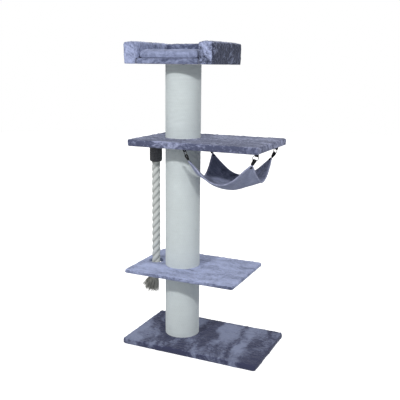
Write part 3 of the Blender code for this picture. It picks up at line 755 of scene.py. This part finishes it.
class Sling:
    """The hammock's hanging shape between its four corners."""

    # Between the corners, as in the CAD node, whose box is a little larger than its corners.
    LENGTH = 0.268
    WIDTH = 0.240
    CENTRE = Vector((0.113, 0.0, 0.0))
    # The edges bow in by this much on average; of two opposite edges, one bows in by the
    # shift more and the other by the shift less.
    BOW = 0.003
    SHIFT = 0.007

    def __init__(self, settings):
        self.rim_drop = settings.rim_drop
        self.front_drop = settings.front_drop
        self.belly_drop = settings.belly_drop
        self.ears = settings.ears
        self.half_cloth = settings.thickness / 2
        self.corner_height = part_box("hammock_sling")[1].z

    def point(self, u, v):
        """A point of the middle surface; u and v run from -1 to 1 between the corners."""
        arch_u = max(1.0 - u * u, 0.0) ** self.ears
        arch_v = max(1.0 - v * v, 0.0) ** self.ears
        rim = self.rim_drop + self.front_drop * (1.0 - v) / 2
        both = 2.0 * self.rim_drop + self.front_drop / 2 - self.belly_drop
        drop = rim * arch_u + self.rim_drop * arch_v - both * arch_u * arch_v
        x = u * (self.LENGTH / 2 - (self.BOW - self.SHIFT * u) * (1.0 - v * v))
        y = v * (self.WIDTH / 2 - (self.BOW + self.SHIFT * v) * (1.0 - u * u))
        return self.CENTRE + Vector((x, y, self.corner_height - drop))

    def normal(self, u, v):
        """The way out of the cloth, towards the inside of the hammock."""
        step = 0.002
        along = self.point(min(u + step, 1.0), v) - self.point(max(u - step, -1.0), v)
        across = self.point(u, min(v + step, 1.0)) - self.point(u, max(v - step, -1.0))
        return along.cross(across).normalized()

    def cloth(self, u, v):
        """The middle of the cloth's thickness."""
        return self.point(u, v) - self.normal(u, v) * self.half_cloth


# ---------------------------------------------------------------- operators

class CATTREE_OT_stage(bpy.types.Operator):
    """Add the camera, the plain floor and the soft lights"""

    bl_idname = "cattree.stage"
    bl_label = "Camera, floor and lights"

    CAMERA_PLACE = (1.058, -2.365, 1.195)
    AZIMUTH = math.radians(24.59)
    PITCH = math.radians(12.14)
    ROLL = math.radians(0.58)
    LENS = 56.58
    LAMP_HEIGHT = 2.15
    LAMP_SIZE = 0.16
    LAMP_COLOUR = (1.0, 0.985, 0.97)
    AIM_HEIGHT = 0.72
    FLOOR_GLOW = 0.80
    FLOOR_RADIUS = 9.0

    def execute(self, context):
        settings = context.scene.cat_tree.stage
        level = math.cos(self.PITCH)
        ahead = Vector((
            -math.sin(self.AZIMUTH) * level, math.cos(self.AZIMUTH) * level, -math.sin(self.PITCH)))
        right = ahead.cross(Vector((0.0, 0.0, 1.0))).normalized()
        above = right.cross(ahead)
        leant_right = right * math.cos(self.ROLL) + above * math.sin(self.ROLL)
        leant_above = above * math.cos(self.ROLL) - right * math.sin(self.ROLL)
        lens = bpy.data.cameras.new("camera")
        lens.lens = self.LENS
        lens.sensor_width = 36.0
        lens.clip_end = 60.0
        camera = linked("camera", lens)
        turn = Matrix((leant_right, leant_above, -ahead)).transposed().to_4x4()
        camera.matrix_world = Matrix.Translation(self.CAMERA_PLACE) @ turn
        context.scene.camera = camera
        context.scene.view_settings.view_transform = "Standard"
        context.scene.view_settings.look = "None"

        centre = (CAD_BOX[0] + CAD_BOX[1]) / 2
        for name, power, place in (
                ("left lamp", settings.left, (-0.45, -2.25, self.LAMP_HEIGHT)),
                ("right lamp", settings.right, (2.00, -2.20, self.LAMP_HEIGHT))):
            light = bpy.data.lights.new(name, "AREA")
            light.shape = "DISK"
            light.size = self.LAMP_SIZE
            light.energy = power
            light.color = self.LAMP_COLOUR
            lamp = linked(name, light)
            lamp.location = place
            aim = Vector((centre.x, centre.y, self.AIM_HEIGHT)) - lamp.location
            lamp.rotation_euler = aim.to_track_quat("-Z", "Y").to_euler()

        world = bpy.data.worlds.new("room")
        world.use_nodes = True
        tree = world.node_tree
        tree.nodes.clear()
        graph = Graph(tree)
        seen = graph.number("ShaderNodeLightPath", "Is Camera Ray")
        glow = seen * (1.0 - settings.fill) + settings.fill
        light = graph.node("ShaderNodeBackground", None, {"Color": (1.0, 1.0, 1.0, 1.0), "Strength": glow})
        output = graph.node("ShaderNodeOutputWorld")
        tree.links.new(light.outputs[0], output.inputs["Surface"])
        context.scene.world = world

        floor_material, graph, shader = material("floor", 0.9)
        shader.inputs["Base Color"].default_value = (*settings.floor, 1.0)
        shader.inputs["Emission Color"].default_value = (1.0, 1.0, 1.0, 1.0)
        shader.inputs["Emission Strength"].default_value = self.FLOOR_GLOW
        work = opened()
        bmesh.ops.create_circle(work, cap_ends=True, segments=96, radius=self.FLOOR_RADIUS)
        mesh = closed(work, bpy.data.meshes.new("floor"))
        mesh.materials.append(floor_material)
        floor = linked("floor", mesh)
        floor.visible_diffuse = False
        floor.visible_glossy = False
        return {"FINISHED"}


class CATTREE_OT_rope(bpy.types.Operator):
    """Add the three-strand climbing rope, its tassel and its collar"""

    bl_idname = "cattree.rope"
    bl_label = "Climbing rope"

    # Crests stand out past the rope's thickness, since a groove faces each of them.
    FLUFF = 1.08
    STRANDS = 3
    AROUND = 84
    STEP = 0.003
    # The tassel's yarns: the radius that they start in, their lengths over the tassel's fall,
    # their thickness and how much of it the tip loses, and how far they stray and curl.
    TASSEL_ROOT = 0.0145
    YARN_REACH = (0.86, 1.04)
    YARN_THICKNESS = (0.0010, 0.0019)
    TAPER = 0.75
    STRAY = 0.003
    CURL = 0.0035
    YARN_STEPS = 8

    def execute(self, context):
        settings = context.scene.cat_tree.rope
        radius = settings.diameter / 2 * self.FLUFF
        line, total = smooth_line(ROPE_ROUTE, self.STEP)
        steps = self.AROUND
        rings, along, sides = [], [], []
        reach = 0.0
        for index, (point, (_, side, up)) in enumerate(zip(line, frames_along(line))):
            if index:
                reach += (point - line[index - 1]).length
            ring = []
            for step in range(steps):
                angle = math.tau * step / steps
                phase = angle - math.tau * reach / settings.lay
                crest = abs(math.cos(self.STRANDS / 2 * phase)) ** 0.55
                yarn_turn = math.tau * reach / (settings.lay * 0.45)
                yarn = 0.010 * math.sin(24.0 * angle + yarn_turn)
                out = radius * (1.0 - settings.groove * (1.0 - crest) + yarn * crest - 0.010)
                ring.append(point + (side * math.cos(angle) + up * math.sin(angle)) * out)
                along.append(reach)
                # The third value, below zero in a groove, darkens the cotton there as painted shade.
                sides.append((math.cos(angle), math.sin(angle), crest - 1.0))
            rings.append(ring)
        mesh = tube(rings)
        point_attributes(mesh, along, sides)
        cotton = cord_material(
            "rope cotton", settings.cotton, settings.cotton_shade, 0.013, 420.0, 0.85, 0.0006, 0.03)
        rope = shown("rope", mesh, "rope", "rope_cotton", cotton)
        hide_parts("play_rope")
        tassel = self.tassel(settings, line[-1])
        path, _ = smooth_line(ROPE_ROUTE, 0.0162)
        paint_node(plain_fibre_material(
            "collar sleeve", tuple(1.9 * value for value in settings.collar),
            tuple(0.55 * value for value in settings.collar), 210.0, 0.0012, 0.55), "rope_collar")
        return {"FINISHED"}

    def tassel(self, settings, end):
        """Loose yarns that splay from the end of the rope and lean to one side."""
        chance = random.Random(11)
        lo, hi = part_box("rope_frayed_end")
        fall = end.z - lo.z
        meshes = []
        for _ in range(settings.fibres):
            angle = chance.uniform(0.0, math.tau)
            spread = math.sqrt(chance.random())
            root = end + Vector((
                self.TASSEL_ROOT * spread * math.cos(angle),
                self.TASSEL_ROOT * spread * math.sin(angle), 0.006))
            leftward = max(-math.cos(angle), 0.0)
            reach = fall * chance.uniform(*self.YARN_REACH) * (1.0 - 0.30 * spread * leftward)
            tip = Vector((
                (lo.x + hi.x) / 2 - 0.003 + (hi.x - lo.x) * 0.56 * spread * math.cos(angle),
                (lo.y + hi.y) / 2 + (hi.y - lo.y) * 0.49 * spread * math.sin(angle),
                end.z - reach))
            middle = root.lerp(tip, 0.45) + Vector((
                0.004 * math.cos(angle) + chance.uniform(-self.STRAY, self.STRAY),
                0.004 * math.sin(angle) + chance.uniform(-self.STRAY, self.STRAY),
                0.006))
            points = []
            curl = chance.uniform(-self.CURL, self.CURL)
            for part in range(self.YARN_STEPS + 1):
                t = part / self.YARN_STEPS
                point = root * (1 - t) ** 2 + middle * 2 * t * (1 - t) + tip * t ** 2
                aside = Vector((math.cos(angle + 1.6), math.sin(angle + 1.6), 0.0))
                point += aside * curl * math.sin(3.0 * t * t)
                points.append(point)
            rings = []
            thick = chance.uniform(*self.YARN_THICKNESS)
            for index, (point, (_, side, up)) in enumerate(zip(points, frames_along(points))):
                size = thick * (1.0 - self.TAPER * (index / self.YARN_STEPS) ** 2)
                rings.append([
                    point + (side * math.cos(math.pi * k / 2) + up * math.sin(math.pi * k / 2)) * size
                    for k in range(4)])
            meshes.append(tube(rings))
        mesh = joined("tassel", meshes)
        for spare in meshes:
            bpy.data.meshes.remove(spare)
        yarn = plain_fibre_material(
            "tassel yarn", settings.fibre, settings.fibre_shade, 160.0, 0.0006, 0.85, 0.0, (1.0, 1.0, 0.25))
        piece = shown("tassel", mesh, "rope", "rope_fibre", yarn)
        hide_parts("rope_frayed_end")
        return piece


class CATTREE_OT_posts(bpy.types.Operator):
    """Wind the cord round the three posts"""

    bl_idname = "cattree.posts"
    bl_label = "Wound posts"

    def execute(self, context):
        settings = context.scene.cat_tree.posts
        fibre = cord_material(
            "post cord", settings.pale, settings.shade, 0.0079, 620.0, twist=0.03, turns=0.16)
        tree = winding_tree(fibre)
        for post in ("lower_post", "middle_post", "upper_post"):
            lo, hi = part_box(post + "_sisal")
            radius = settings.cord / 2
            height = hi.z - lo.z - settings.cord
            turns = round(height / settings.pitch)
            mesh = grown(
                tree, Turns=float(turns), Radius=(hi.x - lo.x) / 2 - radius, Height=height,
                Cord_radius=radius, Points_per_turn=settings.points, Sides=settings.sides,
                Start=((lo.x + hi.x) / 2, (lo.y + hi.y) / 2, lo.z + radius))
            piece = shown(post + "_winding", mesh, FRAME_BODY, "sisal", fibre)
            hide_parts(post + "_sisal")
        return {"FINISHED"}


class CATTREE_OT_platforms(bpy.types.Operator):
    """Cover the base, the shelf and the middle platform in plush"""

    bl_idname = "cattree.platforms"
    bl_label = "Base and platforms"

    # The rope's hole and the pile just round it, from the hole's middle.
    HOLE_REACH = 0.0335

    def execute(self, context):
        settings = context.scene.cat_tree.plush
        # The last argument of each darkens faces that look to the front and to the right as painted shade,
        # and lightens the slate's right faces a little as painted light.
        dark = plush_material(
            "dark plush", settings.dark, settings.dark_shade, -0.20, (12.0, 3.4, 8.0), 3.8, 1.3, 0.8,
            0.31, ((TO_FRONT, -0.26), (TO_RIGHT, -0.20)))
        slate = plush_material(
            "slate plush", settings.slate, settings.slate_shade, 0.05, (5.0, 26.0, 14.0), 2.1, 1.9, 0.7,
            0.33, ((TO_FRONT, -0.16), (TO_RIGHT, 0.06)))
        pale = plush_material(
            "light plush", settings.light, settings.light_shade, -0.05, (6.0, 18.0, 20.0), 1.2, 0.9, 0.5,
            0.66, ((TO_FRONT, -0.26), (TO_RIGHT, -0.10)))
        for number, (name, node, slot, made) in enumerate((
                ("base_plush", "base_cover", "plush_dark", dark),
                ("shelf_plush", "shelf_cover", "plush_light", pale),
                ("middle_plush", "middle_cover", "plush_slate", slate))):
            mesh = remeshed(outer_solid(node), settings.skin)
            worn = self.rubbed if node == "shelf_cover" else None
            raise_pile(mesh, settings.tuft, number + 1, worn=worn)
            piece = shown(name, mesh, FRAME_BODY, slot, made)
            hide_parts(node)
        return {"FINISHED"}

    def rubbed(self, spot):
        """Whether a point lies in the hole that the climbing rope runs through."""
        exit_x, exit_y, _ = ROPE_ROUTE[0]
        return math.hypot(spot.x - exit_x, spot.y - exit_y) < self.HOLE_REACH


class CATTREE_OT_bed(bpy.types.Operator):
    """Add the padded bed: three walls, the floor's cover and the cushion"""

    bl_idname = "cattree.bed"
    bl_label = "Padded bed"

    # Size of the squares that the stuffing is worked out on.
    WALL_SKIN = 0.0045
    CUSHION_SKIN = 0.004
    # Most that a face may swell, for faces that look along X, Y and Z.
    WALL_SWELL = (0.0012, 0.0030, 0.0030)
    CUSHION_SWELL = (0.0035, 0.0015, 0.0050)
    # Height above the bottom that is held still.
    WALL_HELD = 0.022
    CUSHION_HELD = 0.003

    def execute(self, context):
        settings = context.scene.cat_tree.plush
        stroke = (12.0, 20.0, 18.0)
        # The right and back walls take darker copies of the same plush as painted shade: the right wall
        # with a deeper shade colour and painted shade on its right side, partly the pile's nap, and the
        # back wall for its inner face, which lies in shade.
        deep_shade = tuple(0.50 * value for value in settings.light_shade)
        walls = {
            "left": plush_material(
                "bed left plush", settings.light, settings.light_shade, 0.2, stroke, 0.9, 1.2, 0.6,
                0.52),
            "right": plush_material(
                "bed right plush", settings.light, deep_shade, 0.2, stroke, 1.0, 1.7, 1.1,
                0.32, ((TO_RIGHT, -0.26),)),
            "back": plush_material(
                "bed back plush", settings.light, settings.light_shade, 0.2, stroke, 1.0, 1.3, 0.6,
                0.19),
        }
        lip_plush = plush_material(
            "bed floor plush", settings.light, settings.light_shade, 0.0, (8.0, 60.0, 80.0),
            0.9, 0.8, 0.5, 0.28)
        soft = plush_material(
            "cushion plush", settings.light, settings.light_shade, 0.0, (7.0, 46.0, 60.0),
            0.6, 0.4, 0.4, 0.46)
        for number, side in enumerate(("left", "right", "back")):
            node = "bed_" + side + "_cover"
            mesh = remeshed(outer_solid(node), self.WALL_SKIN)
            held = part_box(node)[0].z + self.WALL_HELD
            mesh = swell(mesh, self.WALL_SWELL, held)
            mesh = self.finer(mesh)
            raise_pile(mesh, settings.tuft, number + 5)
            piece = shown("bed_" + side + "_wall", mesh, FRAME_BODY, "plush_light", walls[side])
            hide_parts(node)
        mesh = remeshed(outer_solid("bed_floor_cover"), settings.skin)
        raise_pile(mesh, settings.tuft * 0.8, 9)
        lip = shown("bed_floor_plush", mesh, FRAME_BODY, "plush_light", lip_plush)
        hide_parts("bed_floor_cover")
        mesh = remeshed(merged_copy("bed_cushion"), self.CUSHION_SKIN)
        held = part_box("bed_cushion")[0].z + self.CUSHION_HELD
        mesh = swell(mesh, self.CUSHION_SWELL, held)
        mesh = self.finer(mesh)
        raise_pile(mesh, settings.tuft * 0.8, 12)
        cushion = shown("cushion", mesh, "cushion", "plush_light", soft)
        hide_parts("bed_cushion")
        return {"FINISHED"}

    def finer(self, mesh):
        """The same skin with each square split in four."""
        def split(worker):
            finer = worker.modifiers.new("Finer", "SUBSURF")
            finer.levels = 1
            finer.render_levels = 1

        return evaluated_mesh(mesh, split)


class CATTREE_OT_hammock(bpy.types.Operator):
    """Hang the hammock on its four rings"""

    bl_idname = "cattree.hammock"
    bl_label = "Hammock"

    STEPS = 72
    # Folds that fan from each corner: their height, where they are highest and how wide that
    # is, both over half an edge; and the slow waves' height.
    FOLD_HEIGHT = 0.0024
    FOLD_PEAK = 0.50
    FOLD_WIDTH = 0.34
    WAVE_HEIGHT = 0.0030
    # A corner patch: where it starts, its depth, half its width and its squares each way.
    PATCH_START = 0.001
    PATCH_DEPTH = 0.010
    PATCH_HALF_WIDTH = 0.0060
    PATCH_STEPS = 6
    PATCH_THICKNESS = 0.0012

    def execute(self, context):
        settings = context.scene.cat_tree.hammock
        sling = Sling(settings)
        stroke = (9.0, 12.0, 10.0)
        outer = plush_material(
            "hammock outer plush", settings.outer, settings.outer_shade, 0.0, stroke, 0.8, 0.6, 0.35, 0.60)
        # The inside is a darker copy of the cloth: painted shade for the shade on the inside's back.
        inner = plush_material(
            "hammock inner plush", settings.inner, settings.inner_shade, 0.0, stroke, 1.4, 1.4, 0.5, 0.58)
        band = plush_material(
            "hammock hem plush", settings.band, settings.outer_shade, 0.0, (20.0, 20.0, 20.0),
            1.0, 1.2, 0.5, 0.62)
        mesh = self.cloth_mesh(sling)
        cloth = shown("hammock", mesh, "hammock", "hammock_plush", inner, outer)
        solid = cloth.modifiers.new("Thickness", "SOLIDIFY")
        solid.thickness = settings.thickness
        solid.offset = 0.0
        solid.material_offset = 1
        solid.material_offset_rim = 1
        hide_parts("hammock_sling")
        hem = shown("hammock_hem", self.hem_mesh(mesh, settings.hem), "hammock", "hammock_plush", band)
        patches = self.patches(sling, settings)
        return {"FINISHED"}

    def cloth_mesh(self, sling):
        """The cloth's middle surface, with soft folds that run in from the corners."""
        steps = self.STEPS
        corners = []
        for row in range(steps + 1):
            for column in range(steps + 1):
                u = 2.0 * column / steps - 1.0
                v = 2.0 * row / steps - 1.0
                fold = self.fold(u, v)
                corners.append(sling.cloth(u, v) + sling.normal(u, v) * fold)
        faces = [(a, a + 1, a + steps + 2, a + steps + 1) for a in squares(steps + 1, steps + 1)]
        mesh = bpy.data.meshes.new("hammock")
        mesh.from_pydata(corners, [], faces)
        mesh.update()
        return mesh

    def fold(self, u, v):
        """Height of the folds: fans that spread from each corner, and slow waves over the belly."""
        height = 0.0
        for side_u in (-1.0, 1.0):
            for side_v in (-1.0, 1.0):
                away_u, away_v = (side_u - u) * side_u, (side_v - v) * side_v
                reach = math.hypot(away_u, away_v)
                turn = math.atan2(away_v, away_u)
                fan = math.cos(turn * 8.0 + 1.3 * side_u + 0.7 * side_v)
                off_peak = (reach - self.FOLD_PEAK) / self.FOLD_WIDTH
                height += self.FOLD_HEIGHT * fan * math.exp(-off_peak ** 2)
        slow = noise.noise(Vector((2.6 * u, 2.6 * v, 4.0)))
        return height + self.WAVE_HEIGHT * slow

    def hem_mesh(self, mesh, radius):
        """A flat rolled edge all round the cloth."""
        order = border(self.STEPS + 1, self.STEPS + 1)
        line = [mesh.vertices[index].co.copy() for index in order]
        normals = [mesh.vertices[index].normal.copy() for index in order]
        rings = []
        total = len(line)
        for index, (point, normal) in enumerate(zip(line, normals)):
            tangent = (line[(index + 1) % total] - line[index - 1]).normalized()
            side = tangent.cross(normal).normalized()
            lump = 1.0 + 0.16 * noise.noise(point * 95.0)
            rings.append([
                point + side * (math.cos(math.pi * k / 5) * radius * 1.15 * lump - radius * 0.35)
                + normal * math.sin(math.pi * k / 5) * radius * 0.85 * lump
                for k in range(10)])
        rings.append([corner.copy() for corner in rings[0]])
        hem = tube(rings, close=False)
        work = opened(hem, weld=1e-6)
        bmesh.ops.recalc_face_normals(work, faces=work.faces)
        return closed(work, hem)

    def patches(self, sling, settings):
        """Black webbing sewn over each corner, inside and out."""
        tape = webbing_material("patch webbing", settings.webbing)
        meshes = []
        for side_u in (-1.0, 1.0):
            for side_v in (-1.0, 1.0):
                rows = []
                for step in range(self.PATCH_STEPS + 1):
                    inward = self.PATCH_START + self.PATCH_DEPTH * step / self.PATCH_STEPS
                    row = []
                    for part in range(self.PATCH_STEPS + 1):
                        aside = self.PATCH_HALF_WIDTH * (2 * part / self.PATCH_STEPS - 1.0)
                        away_x = (inward + aside) / math.sqrt(2.0)
                        away_y = (inward - aside) / math.sqrt(2.0)
                        u = side_u * min(1.0, 1.0 - max(away_x, 0.0) / (sling.LENGTH / 2))
                        v = side_v * min(1.0, 1.0 - max(away_y, 0.0) / (sling.WIDTH / 2))
                        row.append((u, v))
                    rows.append(row)
                for way in (1.0, -1.0):
                    meshes.append(self.patch(sling, rows, way))
        mesh = joined("hammock_patches", meshes)
        return shown("hammock_patches", mesh, "hammock", "webbing_black", tape)

    def patch(self, sling, rows, way):
        """One closed patch on one face of the cloth."""
        near = sling.half_cloth + 0.0008
        far = near + self.PATCH_THICKNESS
        points, faces = [], []
        for offset in (near, far):
            for row in rows:
                for u, v in row:
                    points.append(sling.cloth(u, v) + sling.normal(u, v) * way * offset)
        size = len(rows[0])
        layer = size * len(rows)
        for a in squares(size, len(rows)):
            faces.append((a, a + 1, a + size + 1, a + size))
            faces.append((a + layer, a + size + layer, a + size + 1 + layer, a + 1 + layer))
        ring = border(size, len(rows))
        for index, a in enumerate(ring):
            b = ring[(index + 1) % len(ring)]
            faces.append((a, b, b + layer, a + layer))
        mesh = bpy.data.meshes.new("patch")
        mesh.from_pydata(points, [], faces)
        work = opened(mesh)
        bmesh.ops.recalc_face_normals(work, faces=work.faces)
        return closed(work, mesh)


class CATTREE_OT_hangers(bpy.types.Operator):
    """Finish the rings, straps and screws that carry the hammock"""

    bl_idname = "cattree.hangers"
    bl_label = "Hammock hangers"

    def execute(self, context):
        settings = context.scene.cat_tree.hammock
        steel = metal_material("ring steel", settings.steel, 0.28, 300.0)
        tape = webbing_material("webbing", settings.webbing)
        for corner in CORNERS:
            paint_node(steel, "ring_" + corner)
            paint_node(tape, "hanger_strap_" + corner, "hammock_tab_" + corner)
            paint_node(steel, "hanger_screw_" + corner)
        return {"FINISHED"}


class CATTREE_OT_insides(bpy.types.Operator):
    """Finish the boards, foam, tubes, bolts and feet"""

    bl_idname = "cattree.insides"
    bl_label = "Boards, foam and fixings"

    def execute(self, context):
        upward, lengthwise = (1.0, 1.0, 0.2), (0.15, 1.0, 1.0)
        board = plain_fibre_material("fibreboard", (0.46, 0.34, 0.22), (0.30, 0.21, 0.13), 420.0, 0.0006)
        foam = plain_fibre_material("foam", (0.80, 0.78, 0.66), (0.62, 0.59, 0.46), 900.0, 0.0008, 0.95)
        card = plain_fibre_material(
            "cardboard", (0.42, 0.32, 0.21), (0.31, 0.23, 0.15), 300.0, 0.0004, 0.9, 0.0, upward)
        wood = plain_fibre_material(
            "plug wood", (0.62, 0.45, 0.27), (0.42, 0.28, 0.15), 140.0, 0.0006, 0.7, 0.3, lengthwise)
        zinc = metal_material("zinc", (0.62, 0.63, 0.64), 0.34, 240.0)
        felt = plain_fibre_material(
            "foot felt", (0.075, 0.075, 0.080), (0.030, 0.030, 0.033), 700.0, 0.0008, 0.95)
        backing = plain_fibre_material(
            "bed backing", (0.150, 0.165, 0.240), (0.085, 0.095, 0.145), 520.0, 0.0006, 0.95)
        by_slot = {
            "board": board, "foam": foam, "cardboard": card, "plug_wood": wood,
            "zinc_steel": zinc, "foot_felt": felt}
        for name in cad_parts:
            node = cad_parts[name]
            for place in node.material_slots:
                plain = place.material.name.split(".")[0] if place.material else ""
                if plain in by_slot:
                    place.material = by_slot[plain]
        paint_node(backing, "bed_board")
        return {"FINISHED"}


class CATTREE_PT_panel(bpy.types.Panel):
    """Buttons that add the cat tree's pieces"""

    bl_idname = "CATTREE_PT_panel"
    bl_label = "Cat tree"
    bl_space_type = "VIEW_3D"
    bl_region_type = "UI"
    bl_category = "Cat tree"

    def draw(self, context):
        for operator in OPERATORS:
            self.layout.operator(operator.bl_idname)


SETTINGS = (
    CatTreePlush, CatTreePosts, CatTreeRope, CatTreeHammock, CatTreeStage, CatTreeSettings)
OPERATORS = (
    CATTREE_OT_stage, CATTREE_OT_rope, CATTREE_OT_posts, CATTREE_OT_platforms, CATTREE_OT_bed,
    CATTREE_OT_hammock, CATTREE_OT_hangers, CATTREE_OT_insides)


def register():
    """Adds the settings, the operators and the panel."""
    for item in (*SETTINGS, *OPERATORS, CATTREE_PT_panel):
        bpy.utils.register_class(item)
    bpy.types.Scene.cat_tree = bpy.props.PointerProperty(type=CatTreeSettings)


def unregister():
    """Takes them away again."""
    del bpy.types.Scene.cat_tree
    for item in reversed((*SETTINGS, *OPERATORS, CATTREE_PT_panel)):
        bpy.utils.unregister_class(item)


def main():
    """Builds every piece in order."""
    register()
    bpy.ops.cattree.stage()
    bpy.ops.cattree.rope()
    bpy.ops.cattree.posts()
    bpy.ops.cattree.platforms()
    bpy.ops.cattree.bed()
    bpy.ops.cattree.hammock()
    bpy.ops.cattree.hangers()
    bpy.ops.cattree.insides()


if __name__ == "__main__":
    main()
